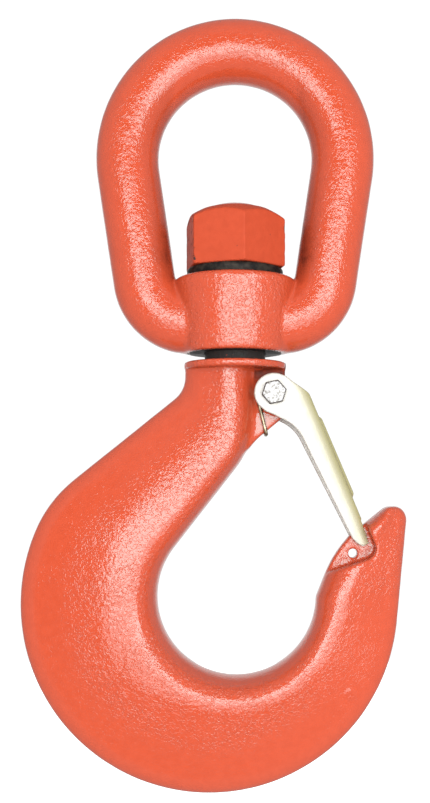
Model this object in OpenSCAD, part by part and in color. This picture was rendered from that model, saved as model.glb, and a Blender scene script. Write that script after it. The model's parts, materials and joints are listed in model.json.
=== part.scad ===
// Swivel hoist hook with a spring latch, for slings with an eleven tonne rating.
// X runs across the hook, Y through its thickness and Z up. The hook hangs from its bail.
// The origin is the inner top of the bail's eye, where the load line passes.
// Flat outlines are drawn as [x, z], or as [x, z, r] where a corner is rounded to radius r.

/* [Bail] */
// Diameter of the round stock of the bail
bail_stock_d = 32; // [30:0.5:33]
// Radius of the round top of the bail's eye
bail_eye_r = 39.2; // [38:0.2:41]
// Inward slope of the bail's legs, in degrees
bail_leg_slope = 8.5; // [7:0.5:10]
// Bend radius at the foot of each leg, along the middle of the stock
bail_bend_r = 24; // [22:0.5:26]
// Radius of the collar's top edge
collar_top_r = 31.5; // [30:0.5:33]
// Radius of the collar's bottom edge
collar_bottom_r = 26.5; // [25:0.5:28]
// Height of the collar
collar_h = 38.4; // [36:0.2:40]

/* [Swivel] */
// Diameter of the hook's shank
shank_d = 31; // [29:0.5:31]
// Radial running clearance of the shank in the collar
shank_clearance = 0.08; // [0.02:0.02:0.1]
// Radius of the shoulder under the collar
shoulder_r = 26.2; // [25:0.2:27]
// Thickness of the shoulder
shoulder_t = 3.7; // [3:0.1:4]
// End play between the collar and the shoulder
end_play = 4.3; // [3:0.1:5]
// Width of the shank nut across its flats
nut_flats = 47; // [44:0.5:48]
// Height of the shank nut, up to its small flat top
nut_h = 30; // [28:0.5:31]
// Turn of the shank nut about the shank, in degrees
nut_turn = 20; // [0:5:60]
// Thickness of the thrust washer
thrust_washer_t = 5; // [4:0.5:6]

/* [Hook] */
// Radius of the hook's bowl
bowl_r = 40.5; // [39:0.5:42]
// Radius of the hook's back and bottom
back_r = 97; // [95:0.5:98]
// Half thickness of the hook at the saddle
saddle_half_t = 21; // [19:0.5:23]
// Half thickness of the neck
neck_half_t = 17; // [16:0.5:18]
// Diameter of the hole for a locking pin in the point
pin_hole_d = 4.8; // [4:0.2:5]

/* [Latch] */
// Angle of the closed latch below the horizontal, in degrees
latch_drop = 66.9; // [66:0.1:68]
// Thickness of the latch's sheet
latch_sheet = 2.4; // [2:0.2:2.6]
// Radius of the latch's eyes
latch_eye_r = 9.9; // [9:0.1:10]
// Diameter of the latch bolt
bolt_d = 6.35; // [5.5:0.05:6.5]
// Diameter of the spring's wire
wire_d = 1.8; // [1.4:0.1:1.8]

/* [Hidden] */
$fn = 64;

orange = "#ec5a35";
gold = "#e3d9a6";
zinc = "#c9ccd0";
dark_steel = "#3a3733";
nylon = "#dfe3e6";

// Bail: the arc of the eye, two sloping legs, and a bend at each foot
bail_arc_r = bail_eye_r + bail_stock_d / 2;
collar_top_z = -100.8;
collar_bottom_z = collar_top_z - collar_h;
collar_edge_r = 2.5;
bail_foot_x = 20;
bail_foot_z = collar_bottom_z + bail_stock_d / 2 + 0.2;
bend_z = bail_foot_z + bail_bend_r;
bend_x = (bail_arc_r - bail_bend_r + sin(bail_leg_slope) * (bend_z + bail_eye_r)) / cos(bail_leg_slope);

// Swivel stack, from the thrust washer up and from the shoulder down
washer_gap = 0.1;
fit_gap = 0.05;
washer_z = collar_top_z + washer_gap;
washer_r = 24.6;
nut_z = washer_z + thrust_washer_t;
nut_top_z = nut_z + nut_h;
nut_corner_r = nut_flats / 2 / cos(30);
nut_crown_r = 42.2;
nut_crown_h = 3.6;
shank_top_z = nut_top_z + nut_crown_h;
shank_dome_h = 3.5;
shoulder_z = collar_bottom_z - end_play;
neck_z = shoulder_z - shoulder_t;
nut_pin_d = 5;
nut_pin_rise = 12.35;
nut_pin_z = nut_z + nut_pin_rise;
nut_pin_depth = 8;
nut_pin_sink = 0.5;
nut_pin_wall = 1;
washer_bore_gap = 0.3;

// Hook: the bowl, the back, and the neck that leaves the shoulder
bowl = [0.8, -263.2];
back = [-13.3, -267.3];
throat_slope = 52.1;
back_slope = 38.7;
back_line = [-36.4, -166.2];
back_normal = [-sin(back_slope), cos(back_slope)];
hip_r = 66;
hip_end = 90 + back_slope + acos((-back_normal * (back - back_line) - hip_r) / (back_r - hip_r));
hip = back + (back_r - hip_r) * [cos(hip_end), sin(hip_end)];
neck_inner_x = 9.2;
neck_outer_x = -25.8;
neck_fillet_r = 14;
neck_bend_r = 40;
neck_bend_sweep = 90 - throat_slope;
point_lean = 5.6;
point_corner_r = 7;
point_corner = [81.2, -223.8];
point_hollow = 2.2;
fin_half_t = 3.8;
fin_corner = [58.5, -231.9];
crown = [77, -217.3];
pin_hole = [60.2, -241];
ear_outline = [[0, -146.7], [25.6, -146.7], [25.6, -171, 6], [7, -186.3], [-2, -186.3]];
pocket_foot = [40, -252.4];
pocket_top_x = 30;
pocket_top_z = -200;
pocket_foot_x = 73;
pocket_wall_l = 50;
pocket_corner_r = 5.5;

// Latch: seen along the latch as [distance from the pivot, distance outwards]
pivot = [19.5, -159.7];
latch_out = 16.8;
latch_tip = 89.3;
latch_eye_half_w = 14.8;
latch_tip_half_w = 6.7;
latch_taper_start = 10;
latch_web_end = 76.8;
latch_bend_r = 6.5;
latch_gap = 0.35;
ear_half_t = 5.5;
bolt_gap = 0.08;
bolt_head_h = 3.6;
bolt_head_flats = 11.1;
bolt_head_turn = -12;
bolt_tail = 1.5;
lock_nut_h = 5;
lock_nut_turn = 20;
lock_nut_collar_h = 2.4;
lock_nut_collar_r = 5.25;
lock_nut_collar_wall = 0.8;
insert_h = 2;
rear_face = latch_eye_half_w + 0.2;
notch_half_w = 4.3;
rib_r = 3;
rib_start = 22;
rib_end = 62;
rib_rise = 1.5;
through = 60;

// Spring: its coils, and where its end lies in the latch
coil_r = 8.3;
coil_turns = 2;
coil_steps = 56;
spring_end = [27, 12.6];
spring_end_y = 8.4;
ear_leg_drop = 76.4;
ear_leg_l = 19.2;
spring_bend = 1.6;

function lerp(a, b, t) = a + (b - a) * t;
function ease(t) = t * t * (3 - 2 * t);
function unit(v) = v / norm(v);
function polar(r, a) = r * [cos(a), sin(a)];
function arc(centre, r, from, to, n) = [for (i = [0:n]) centre + polar(r, lerp(from, to, i / n))];
function angle_of(v) = atan2(v[1], v[0]);
function flat(p) = [p[0], p[1]];

// The points that round the corner b, between a and c, to radius r
function round_corner(a, b, c, r, n = 6) =
    let (u = unit(a - b), v = unit(c - b), half = acos(u * v) / 2)
    let (centre = b + unit(u + v) * r / sin(half))
    let (from = angle_of(b + u * r / tan(half) - centre))
    let (to = angle_of(b + v * r / tan(half) - centre))
    let (turn = to - from, sweep = turn > 180 ? turn - 360 : turn < -180 ? turn + 360 : turn)
    arc(centre, r, from, from + sweep, n);

// An outline whose corners carry their own radius
function rounded(points) =
    let (n = len(points))
    [for (i = [0:n - 1])
        let (p = points[i], before = points[(i + n - 1) % n], after = points[(i + 1) % n])
        for (q = len(p) < 3 ? [flat(p)] : round_corner(flat(before), flat(p), flat(after), p[2])) q];

// A smooth value along the hook, from rows of [stage, value]
function along_hook(rows, s) =
    let (i = max([for (k = [0:len(rows) - 2]) if (rows[k][0] <= s) k]))
    let (a = rows[i], b = rows[i + 1])
    lerp(a[1], b[1], ease(min(1, (s - a[0]) / (b[0] - a[0]))));

// A closed skin over rings of points, with flat ends
module skin(rings) {
    m = len(rings[0]);
    last = len(rings) - 1;
    sides = [for (i = [0:last - 1], j = [0:m - 1])
        [i * m + j, i * m + (j + 1) % m, (i + 1) * m + (j + 1) % m, (i + 1) * m + j]];
    halves = [for (q = sides) for (h = [[q[0], q[1], q[2]], [q[0], q[2], q[3]]]) h];
    start = [for (j = [m - 1:-1:0]) j];
    end = [for (j = [0:m - 1]) last * m + j];
    polyhedron([for (r = rings) for (p = r) p], concat([start], halves, [end]));
}

// Extrudes an [x, z] outline through the thickness, between y0 and y1
module across(y0, y1) {
    translate([0, y1, 0]) rotate([90, 0, 0]) linear_extrude(y1 - y0) children();
}

// ---- Bail ----

// Rows of [x, z, direction of the ring's outside] along the middle of the stock, up from the collar
function stock_row(centre, r, a) = [centre[0] + r * cos(a), centre[1] + r * sin(a), a];
bail_half = concat(
    [[bail_foot_x, bail_foot_z, -90]],
    [for (i = [0:8]) stock_row([bend_x, bend_z], bail_bend_r, lerp(-90, -bail_leg_slope, i / 8))],
    [for (i = [0:16]) stock_row([0, -bail_eye_r], bail_arc_r, lerp(-bail_leg_slope, 90, i / 16))]);
bail_rows = concat(bail_half,
    [for (i = [len(bail_half) - 2:-1:0]) let (b = bail_half[i]) [-b[0], b[1], 180 - b[2]]]);
stock_sides = 28;

module bail_ring() {
    r = bail_stock_d / 2;
    skin([for (b = bail_rows) [for (j = [0:stock_sides - 1])
        let (a = 360 * j / stock_sides, out = polar(r * cos(a), b[2]))
        [b[0] + out[0], -r * sin(a), b[1] + out[1]]]]);
}

module collar() {
    outline = [[0, collar_bottom_z], [collar_bottom_r, collar_bottom_z, collar_edge_r],
               [collar_top_r, collar_top_z, collar_edge_r], [0, collar_top_z]];
    rotate_extrude() polygon(rounded(outline));
}

module bail() {
    bore_r = shank_d / 2 + shank_clearance;
    color(orange) difference() {
        union() {
            bail_ring();
            collar();
        }
        translate([0, 0, collar_bottom_z - 1]) cylinder(r = bore_r, h = collar_h + 2);
    }
}

// ---- Hook ----

// Where a ray from the bowl's centre meets the outside of the hook
function ray_circle(d, centre, r) =
    let (w = centre - bowl, b = d * w)
    bowl + d * (b + sqrt(r * r - w * w + b * b));
function ray_line(d, p, normal) = bowl + d * (normal * (p - bowl)) / (normal * d);
function outer_ray(a) =
    let (d = polar(1, a), on_back = ray_circle(d, back, back_r), on_hip = ray_circle(d, hip, hip_r))
    let (lean = back + polar(back_r, -point_lean))
    a > 360 - point_lean ? ray_line(d, lean, polar(1, -point_lean)) :
    angle_of(on_back - back) < 0 || angle_of(on_back - back) > hip_end ? on_back :
    angle_of(on_hip - hip) > 90 + back_slope ? on_hip : ray_line(d, back_line, back_normal);

throat_start = 90 + throat_slope;
neck_bend_x = neck_inner_x - neck_bend_r;
neck_bend_reach = bowl_r + neck_bend_r - (neck_bend_x - bowl[0]) * cos(throat_start);
neck_bend_z = bowl[1] + neck_bend_reach / sin(throat_start);
neck_bend = [neck_bend_x, neck_bend_z];
throat_top = neck_bend + polar(neck_bend_r, -neck_bend_sweep);
throat_foot = bowl + polar(bowl_r, throat_start);
neck_fillet_x = neck_outer_x - neck_fillet_r;
neck_fillet_rise = neck_fillet_r + (neck_fillet_x - back_line[0]) * sin(back_slope);
neck_fillet_z = back_line[1] + neck_fillet_rise / cos(back_slope);
neck_fillet = [neck_fillet_x, neck_fillet_z];
fillet_foot = neck_fillet + polar(neck_fillet_r, back_slope - 90);
hip_top = outer_ray(throat_start);
point_root = outer_ray(360);
point_shoulder = point_corner + [point_corner_r, 0];

// Rows of [inner point, outer point, stage]: 0 neck, 1 neck bend, 2 throat, 3 bowl, 5 point, 6 fin, 7 crown
neck_rows = [for (i = [0:3]) let (t = i / 4)
    [[neck_inner_x, lerp(neck_z + 1, neck_bend[1], t)],
     [neck_outer_x, lerp(neck_z + 1, neck_fillet[1], t)], t]];
bend_rows = [for (i = [0:5]) let (t = i / 6)
    [neck_bend + polar(neck_bend_r, -neck_bend_sweep * t),
     neck_fillet + polar(neck_fillet_r, (back_slope - 90) * t), 1 + t]];
throat_rows = [for (i = [0:4]) let (t = i / 5)
    [lerp(throat_top, throat_foot, t), lerp(fillet_foot, hip_top, t), 2 + t]];
bowl_rows = [for (i = [0:47]) let (t = i / 48, a = lerp(throat_start, 360, t))
    [bowl + polar(bowl_r, a), outer_ray(a), 3 + 2 * t]];
point_rows = [for (i = [0:4]) let (t = i / 5)
    [lerp(bowl + [bowl_r, 0], fin_corner, t) - [point_hollow * sin(180 * pow(t, 1.3)), 0],
     lerp(point_root, point_shoulder, t), 5 + t]];
crown_rows = [for (i = [0:6]) let (t = i / 6)
    [lerp(fin_corner, crown, t), point_corner + polar(point_corner_r, 80 * t), 6 + t]];
hook_rows = concat(neck_rows, bend_rows, throat_rows, bowl_rows, point_rows, crown_rows);

crest_half_t = [[0, neck_half_t], [1, neck_half_t], [2, 18.5], [4, saddle_half_t],
                [5, 17.5], [6, 13.5], [7, 9]];
edge_half_t = [[0, 12.5], [1, 12.5], [3, 8.5], [4, 8.5], [5, 7.5], [6, 8], [7, 7]];
crest_place = [[0, 0.64], [1, 0.66], [2, 0.8], [4, 0.82], [4.8, 0.8], [5, 0.72], [6, 0.6], [7, 0.5]];
bow_share = [[0, 0.42], [1, 0.5], [2, 0.8], [2.6, 0.7], [3.2, 0.42],
             [3.5, 0.42], [4, 0.17], [5, 0.15], [7, 0.3]];
rim_start = 40;

// How far the flank has thinned at a share f of its width: slowly over the bow, then evenly
function thinned(f, bow) = (f < bow ? f * f / (2 * bow) : f - bow / 2) / (1 - bow / 2);

// One side of a section, from the inner edge to the outer edge, as [share of the way in, half thickness]
function half_section(t, edge, crest, edge_share, bow) = concat(
    [for (a = [0:18:90]) [crest + (1 - crest) * cos(a), t * sin(a)]],
    [for (f = [bow / 3, 2 * bow / 3, bow, 1]) [lerp(crest, edge_share, f), lerp(t, edge, thinned(f, bow))]],
    [for (b = [57, 73]) [edge_share * (1 - sin(b)) / (1 - sin(rim_start)), edge * cos(b) / cos(rim_start)]],
    [[0, 0]]);

function hook_ring(row) =
    let (inner = row[0], outer = row[1], s = row[2])
    let (t = along_hook(crest_half_t, s), edge = min(t, along_hook(edge_half_t, s)))
    let (crest = along_hook(crest_place, s))
    let (edge_share = min(0.7 * crest, edge / norm(inner - outer)))
    let (half = half_section(t, edge, crest, edge_share, along_hook(bow_share, s)))
    let (back_half = [for (i = [len(half) - 2:-1:1]) [half[i][0], -half[i][1]]])
    [for (p = concat(half, back_half)) let (q = lerp(outer, inner, p[0])) [q[0], p[1], q[1]]];

module hook_body() {
    skin([for (row = hook_rows) hook_ring(row)]);
}

module shank() {
    r = shank_d / 2;
    dome_r = (r * r + shank_dome_h * shank_dome_h) / (2 * shank_dome_h);
    dome = arc([0, shank_top_z - dome_r], dome_r, asin(1 - shank_dome_h / dome_r), 90, 6);
    rotate_extrude() polygon(concat([[0, neck_z], [r, neck_z]], dome));
}

module ear() {
    across(-ear_half_t, ear_half_t) polygon(rounded(ear_outline));
}

// The pocket in each side of the point that takes the latch's tip. Its wall runs along the latch's back.
module point_pockets() {
    wall = pivot + polar(latch_tip, -latch_drop) + polar(latch_out + latch_gap, 90 - latch_drop);
    up = polar(1, 180 - latch_drop);
    foot = wall + (pocket_foot_x - wall[0]) / up[0] * up;
    outline = [pocket_foot, [foot[0], foot[1], pocket_corner_r], wall + pocket_wall_l * up,
               [pocket_top_x, pocket_top_z]];
    for (side = [-1, 1]) scale([1, side, 1]) across(fin_half_t, through / 2) polygon(rounded(outline));
}

// A hole right through the thickness at [x, z]
module cross_hole(at, d) {
    translate([at[0], 0, at[1]]) rotate([90, 0, 0]) cylinder(d = d, h = through, center = true);
}

module nut_pin_hole(d, from) {
    translate([0, 0, nut_pin_z]) rotate([0, 0, 90 - nut_turn]) rotate([0, 90, 0])
        translate([0, 0, from]) cylinder(d = d, h = nut_flats);
}

module hook() {
    color(orange) difference() {
        union() {
            hook_body();
            shank();
            translate([0, 0, neck_z]) cylinder(r = shoulder_r, h = shoulder_t);
            ear();
        }
        point_pockets();
        cross_hole(pivot, bolt_d + 2 * fit_gap);
        cross_hole(pin_hole, pin_hole_d);
        nut_pin_hole(nut_pin_d + 2 * fit_gap, shank_d / 2 - nut_pin_depth - fit_gap);
    }
}

// ---- Swivel pieces ----

module shank_nut() {
    rim_r = nut_corner_r + 1;
    middle = [0, shank_top_z - nut_crown_r];
    flat_from = asin(1 - nut_crown_h / nut_crown_r);
    crown_arc = arc(middle, nut_crown_r, acos(rim_r / nut_crown_r), flat_from, 12);
    envelope = concat([[0, nut_z], [rim_r, nut_z]], crown_arc, [[0, nut_top_z]]);
    color(orange) difference() {
        intersection() {
            translate([0, 0, nut_z]) rotate([0, 0, -nut_turn])
                cylinder(r = nut_corner_r, h = nut_h, $fn = 6);
            rotate_extrude() polygon(envelope);
        }
        translate([0, 0, nut_z - 1]) cylinder(r = shank_d / 2 + fit_gap, h = nut_h + 2);
        nut_pin_hole(nut_pin_d + 2 * fit_gap, 0);
    }
}

module nut_pin() {
    pin_r0 = shank_d / 2 - nut_pin_depth;
    pin_l = nut_flats / 2 - pin_r0 - nut_pin_sink;
    color(dark_steel) translate([0, 0, nut_pin_z]) rotate([0, 0, 90 - nut_turn]) rotate([0, 90, 0])
        translate([0, 0, pin_r0]) difference() {
            cylinder(d = nut_pin_d, h = pin_l);
            translate([0, 0, -1]) cylinder(d = nut_pin_d - 2 * nut_pin_wall, h = pin_l + 2);
        }
}

module thrust_washer() {
    color(dark_steel) translate([0, 0, washer_z]) difference() {
        cylinder(r = washer_r, h = thrust_washer_t);
        translate([0, 0, -1]) cylinder(d = shank_d + 2 * washer_bore_gap, h = thrust_washer_t + 2);
    }
}

// ---- Latch ----

// Places what is drawn along the latch: x away from the pivot, z outwards
module on_latch() {
    translate([pivot[0], 0, pivot[1]]) rotate([0, latch_drop, 0]) children();
}

module latch_side() {
    outline = [[-5.3, 8.2], [7.4, latch_out, 4], [latch_tip, latch_out, 2.5], [latch_tip, 10.5, 4],
               [83.6, 7.9, 4], [20.3, 4, 20], [6.4, -7.5], [0, 0]];
    circle(r = latch_eye_r);
    polygon(rounded(outline));
}

// A slice across the latch's channel at x, with its two outer corners bent round
module channel_slice(x, half_w, out, bend) {
    low = -12;
    outline = [[-half_w, low], [half_w, low], [half_w, out, bend], [-half_w, out, bend]];
    translate([x, 0, 0]) rotate([90, 0, 90]) linear_extrude(0.01) polygon(rounded(outline));
}

// The channel's outer form, or its hollow when inset by the sheet's thickness
module channel(inset) {
    wide = latch_eye_half_w - inset;
    slim = latch_tip_half_w - inset;
    bend = max(1.5, latch_bend_r - inset);
    hull() {
        channel_slice(-15, wide, latch_out - inset, bend);
        channel_slice(latch_taper_start, wide, latch_out - inset, bend);
    }
    hull() {
        channel_slice(latch_taper_start, wide, latch_out - inset, bend);
        channel_slice(latch_tip + 0.5, slim, latch_out - inset, bend);
    }
}

// The raised bead along the outside of the web
module latch_rib() {
    intersection() {
        hull() {
            for (x = [rib_start, rib_end]) translate([x, 0, latch_out + rib_rise - rib_r])
                sphere(r = rib_r, $fn = 24);
        }
        translate([0, -rib_r, latch_out - 1]) cube([latch_tip, 2 * rib_r, rib_r]);
    }
}

module latch() {
    color(gold) on_latch() {
        difference() {
            intersection() {
                across(-20, 20) latch_side();
                channel(0);
            }
            channel(latch_sheet);
            translate([latch_web_end, -notch_half_w, 0]) cube([through, 2 * notch_half_w, through]);
            rotate([90, 0, 0]) cylinder(d = bolt_d + 2 * bolt_gap, h = through, center = true);
        }
        latch_rib();
    }
}

// ---- Latch bolt, nut and spring ----

module latch_bolt() {
    bolt_l = 2 * rear_face + lock_nut_h + lock_nut_collar_h + bolt_tail;
    color(zinc) translate([pivot[0], -rear_face, pivot[1]]) rotate([-90, 0, 0]) {
        cylinder(d = bolt_d, h = bolt_l);
        rotate([0, 0, bolt_head_turn]) translate([0, 0, -bolt_head_h])
            cylinder(d = bolt_head_flats / cos(30), h = bolt_head_h, $fn = 6);
    }
}

module lock_nut() {
    color(zinc) translate([pivot[0], rear_face, pivot[1]]) rotate([-90, 0, 0]) difference() {
        union() {
            rotate([0, 0, lock_nut_turn])
                cylinder(d = bolt_head_flats / cos(30), h = lock_nut_h, $fn = 6);
            translate([0, 0, lock_nut_h]) cylinder(r = lock_nut_collar_r, h = lock_nut_collar_h);
        }
        translate([0, 0, -1]) cylinder(d = bolt_d + 2 * fit_gap, h = lock_nut_h + 2);
        translate([0, 0, lock_nut_h])
            cylinder(r = lock_nut_collar_r - lock_nut_collar_wall, h = lock_nut_collar_h + 1);
    }
}

module lock_nut_insert() {
    insert_r = lock_nut_collar_r - lock_nut_collar_wall - fit_gap;
    base = rear_face + lock_nut_h + fit_gap;
    color(nylon) translate([pivot[0], base, pivot[1]]) rotate([-90, 0, 0]) difference() {
        cylinder(r = insert_r, h = insert_h);
        translate([0, 0, -1]) cylinder(d = bolt_d + 2 * fit_gap, h = insert_h + 2);
    }
}

// Half of the spring's path, from its end inside the latch, round the coil and down to its bridge
spring_out_y = latch_eye_half_w - latch_sheet - wire_d / 2 - 0.25;
spring_in_y = ear_half_t + wire_d / 2 + 0.2;
spring_tip = pivot + polar(spring_end[0], -latch_drop) + polar(spring_end[1], 90 - latch_drop);
spring_to_tip = spring_tip - pivot;
coil_from = angle_of(spring_to_tip) + acos(coil_r / norm(spring_to_tip));
coil_to = 270 - ear_leg_drop + 360 * coil_turns;

function at_y(p, y) = [p[0], y, p[1]];
coil_path = [for (i = [0:coil_steps]) let (t = i / coil_steps)
    at_y(pivot + polar(coil_r, lerp(coil_from, coil_to, t)), -lerp(spring_out_y, spring_in_y, t))];
leg_dir = polar(1, -ear_leg_drop);
leg_end = pivot + polar(coil_r, coil_to) + ear_leg_l * leg_dir;
bridge_turn = [for (a = [0:30:90])
    at_y(leg_end + spring_bend * (sin(a) - 1) * leg_dir, -spring_in_y + spring_bend * (1 - cos(a)))];
half_spring = concat([at_y(spring_tip, -spring_end_y)], coil_path, bridge_turn);
far_half = [for (i = [len(half_spring) - 1:-1:0]) let (p = half_spring[i]) [p[0], -p[1], p[2]]];
spring_path = concat(half_spring, far_half);

// A round wire along a path, its rings carried along without twist
module wire(path, r, sides = 8) {
    last = len(path) - 1;
    tangents = [for (i = [0:last]) unit(path[min(i + 1, last)] - path[max(i - 1, 0)])];
    first = unit(cross(tangents[0], [0, 1, 0]));
    normals = [for (i = 0, n = first; i <= last;
        i = i + 1, n = i > last ? n : unit(n - (n * tangents[i]) * tangents[i])) n];
    rings = [for (i = [0:last]) let (side = cross(tangents[i], normals[i]))
        [for (j = [0:sides - 1]) let (a = -360 * j / sides)
            path[i] + r * (cos(a) * normals[i] + sin(a) * side)]];
    skin(rings);
}

module latch_spring() {
    color(dark_steel) wire(spring_path, wire_d / 2);
}

bail();
hook();
shank_nut();
nut_pin();
thrust_washer();
latch();
latch_bolt();
lock_nut();
lock_nut_insert();
latch_spring();
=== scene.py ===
# Looks of the swivel hook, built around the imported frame.
# Shapes are worked out in millimetres in the frame's axes, as distance fields on a block of points,
# and become meshes in metres. A field is negative inside a solid and positive outside it.
import json
import math

import bpy
import numpy as np
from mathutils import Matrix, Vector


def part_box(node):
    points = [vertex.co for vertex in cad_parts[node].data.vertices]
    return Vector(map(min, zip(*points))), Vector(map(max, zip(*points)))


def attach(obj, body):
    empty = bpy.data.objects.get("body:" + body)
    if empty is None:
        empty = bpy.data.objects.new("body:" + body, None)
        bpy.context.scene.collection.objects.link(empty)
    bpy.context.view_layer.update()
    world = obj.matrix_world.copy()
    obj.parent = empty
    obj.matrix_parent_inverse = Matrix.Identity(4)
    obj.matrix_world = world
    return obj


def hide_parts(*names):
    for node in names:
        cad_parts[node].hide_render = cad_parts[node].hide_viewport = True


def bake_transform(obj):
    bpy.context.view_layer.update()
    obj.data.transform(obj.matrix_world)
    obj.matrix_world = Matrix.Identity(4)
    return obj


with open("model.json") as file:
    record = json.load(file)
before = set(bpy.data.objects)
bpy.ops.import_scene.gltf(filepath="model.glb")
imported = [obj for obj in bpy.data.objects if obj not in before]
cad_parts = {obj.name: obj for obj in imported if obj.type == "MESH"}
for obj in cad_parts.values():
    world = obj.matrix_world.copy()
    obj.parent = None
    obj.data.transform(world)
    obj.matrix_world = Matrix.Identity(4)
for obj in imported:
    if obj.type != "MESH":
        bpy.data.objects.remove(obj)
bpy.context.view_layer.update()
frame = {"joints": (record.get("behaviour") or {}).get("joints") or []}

import openvdb as vdb
from mathutils import Vector

MM = 0.001


def low_mm(node):
    return np.array(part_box(node)[0]) / MM


def high_mm(node):
    return np.array(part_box(node)[1]) / MM


def joint_place(name):
    """Where a joint's axis passes, as [x, z] in millimetres."""
    found = next(j for j in frame["joints"] if j["name"] == name)
    return np.array([found["pos_m"][0], found["pos_m"][2]]) / MM


# ---- Places taken from the frame ----

PIVOT = joint_place("latch_swing")
WASHER_Z, NUT_Z = low_mm("thrust_washer")[2], high_mm("thrust_washer")[2]
WASHER_R = high_mm("thrust_washer")[0]
NUT_TOP_Z = high_mm("shank_nut")[2]
SHANK_TOP_Z = high_mm("hook")[2]
COLLAR_TOP_Z = WASHER_Z - 0.1
COLLAR_BOTTOM_Z = low_mm("bail")[2]
BAIL_ARC_Z = -39.2
STOCK_R = high_mm("bail")[2] / 2
BAIL_ARC_R = -BAIL_ARC_Z + STOCK_R
SHOULDER_R = high_mm("hook")[1]

# ---- Sizes of the forgings ----

LEG_SLOPE = 8.5
BAIL_BEND_R = 24
BAIL_FOOT = np.array([20, COLLAR_BOTTOM_Z + STOCK_R + 0.2])
COLLAR_TOP_R, COLLAR_BOTTOM_R, COLLAR_EDGE_R = 31.5, 26.5, 2.5
BORE_R = 15.58
# How far outlines and cuts run past the axis or the face that they open through
PAST_AXIS, PAST_TOP = 9, 5
SHANK_R, SHANK_DOME_H = 15.5, 3.5
SHOULDER_TOP_Z = COLLAR_BOTTOM_Z - 4.3
NECK_Z = SHOULDER_TOP_Z - 3.7
BOWL, BOWL_R = np.array([0.8, -263.2]), 40.5
BACK, BACK_R = np.array([-13.3, -267.3]), 97
THROAT_SLOPE, BACK_SLOPE = 52.1, 38.7
BACK_LINE = np.array([-36.4, -166.2])
HIP_R = 66
NECK_INNER_X, NECK_OUTER_X = 9.2, -25.8
NECK_FILLET_R, NECK_BEND_R = 14, 40
POINT_LEAN = 5.6
POINT_CORNER, POINT_CORNER_R = np.array([81.2, -223.8]), 7
POINT_HOLLOW = 2.2
FIN_CORNER, CROWN = np.array([58.5, -231.9]), np.array([77, -217.3])
FIN_HALF_T, EAR_HALF_T = 3.8, 5.5
EAR_OUTLINE = [[0, NECK_Z + 0.5], [25.6, NECK_Z + 0.5], [25.6, -171, 6], [7, -186.3], [-2, -186.3]]
PIN_HOLE, PIN_HOLE_R = np.array([60.2, -241]), 2.4
POCKET_FOOT, POCKET_TOP = [40, -252.4], [30, -200]
POCKET_FOOT_X, POCKET_WALL_L, POCKET_CORNER_R = 73, 50, 5.5

# ---- Sizes of the nut and its pin ----

NUT_TURN, NUT_FLATS, NUT_CROWN_R = 20, 47, 42.2
PIN_Z, PIN_R, PIN_DEPTH, PIN_SINK, PIN_WALL = NUT_Z + 12.35, 2.5, 8, 0.5, 1

# ---- Sizes of the latch, in its own frame: x along it from the pivot, z outwards ----

LATCH_DROP = 66.9
LATCH_OUT, LATCH_TIP, SHEET = 16.8, 89.3, 2.4
LATCH_EYE_R = 9.9
LATCH_HALF_W, LATCH_TIP_HALF_W, TAPER_START = 14.8, 6.7, 10
WEB_END, NOTCH_HALF_W, LATCH_BEND_R = 76.8, 4.3, 6.5
RIB_START, RIB_END = 22, 62
BOLT_R, BOLT_HEAD_H, BOLT_FLATS = 3.175, 3.6, 11.1
BOLT_CORNER_R = BOLT_FLATS / 2 / math.cos(math.pi / 6)
BOLT_TURN, LOCK_NUT_TURN = 12, -20
THREAD_PITCH, THREAD_DEPTH = 1.27, 0.55
REAR_FACE = 15.0
LOCK_NUT_H, LOCK_COLLAR_H = 5, 2.4
WIRE_R, COIL_R, COIL_TURNS = 0.9, 8.3, 2
SPRING_OUT_Y, SPRING_IN_Y = 11.25, 6.6
SPRING_END_X, SPRING_END_OUT, SPRING_END_Y = 27, 12.6, 8.4
SPRING_LEG_DROP, SPRING_LEG, SPRING_LEG_BEND = 76.4, 19.2, 1.6


# ---- Plane geometry ----

def polar(r, degrees):
    a = math.radians(degrees)
    return r * np.array([math.cos(a), math.sin(a)])


def lerp(a, b, t):
    return a + (b - a) * t


def steps(n):
    """Shares of a way in n even steps, from 0 and short of 1."""
    return np.linspace(0, 1, n, endpoint=False)


def angle_of(v):
    return math.degrees(math.atan2(v[1], v[0]))


def arc(centre, r, start, end, n):
    return [centre + polar(r, a) for a in np.linspace(start, end, n + 1)]


def rounded(corners, n=8):
    """An outline of [x, z] or [x, z, r] corners, with the last kind rounded to radius r."""
    points = []
    for i, corner in enumerate(corners):
        here = np.array(corner[:2], float)
        if len(corner) < 3:
            points.append(here)
            continue
        u = np.array(corners[i - 1][:2]) - here
        v = np.array(corners[(i + 1) % len(corners)][:2]) - here
        u, v = u / np.linalg.norm(u), v / np.linalg.norm(v)
        half = math.acos(float(u @ v)) / 2
        centre = here + (u + v) / np.linalg.norm(u + v) * corner[2] / math.sin(half)
        reach = corner[2] / math.tan(half)
        start, end = angle_of(here + u * reach - centre), angle_of(here + v * reach - centre)
        sweep = (end - start + 180) % 360 - 180
        points += arc(centre, corner[2], start, start + sweep, n)
    return np.array(points)


# ---- Fields ----

class Block:
    """A block of evenly spaced points that holds the box from low to high, with room around it."""

    def __init__(self, low, high, step):
        self.step = step
        self.low = np.array(low, float) - 5 * step
        self.counts = np.ceil((np.array(high) - self.low) / step).astype(int) + 6
        x, y, z = (start + step * np.arange(n) for start, n in zip(self.low, self.counts))
        self.x, self.y, self.z = x[:, None, None], y[None, :, None], z[None, None, :]


def smooth_min(a, b, k):
    """Joins two solids, with a fillet about k wide."""
    h = np.maximum(k - np.abs(a - b), 0) / k
    return np.minimum(a, b) - h * h * k / 4


def smooth_max(a, b, k):
    """Keeps what two solids share, with an edge rounded over about k."""
    return -smooth_min(-a, -b, k)


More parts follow.
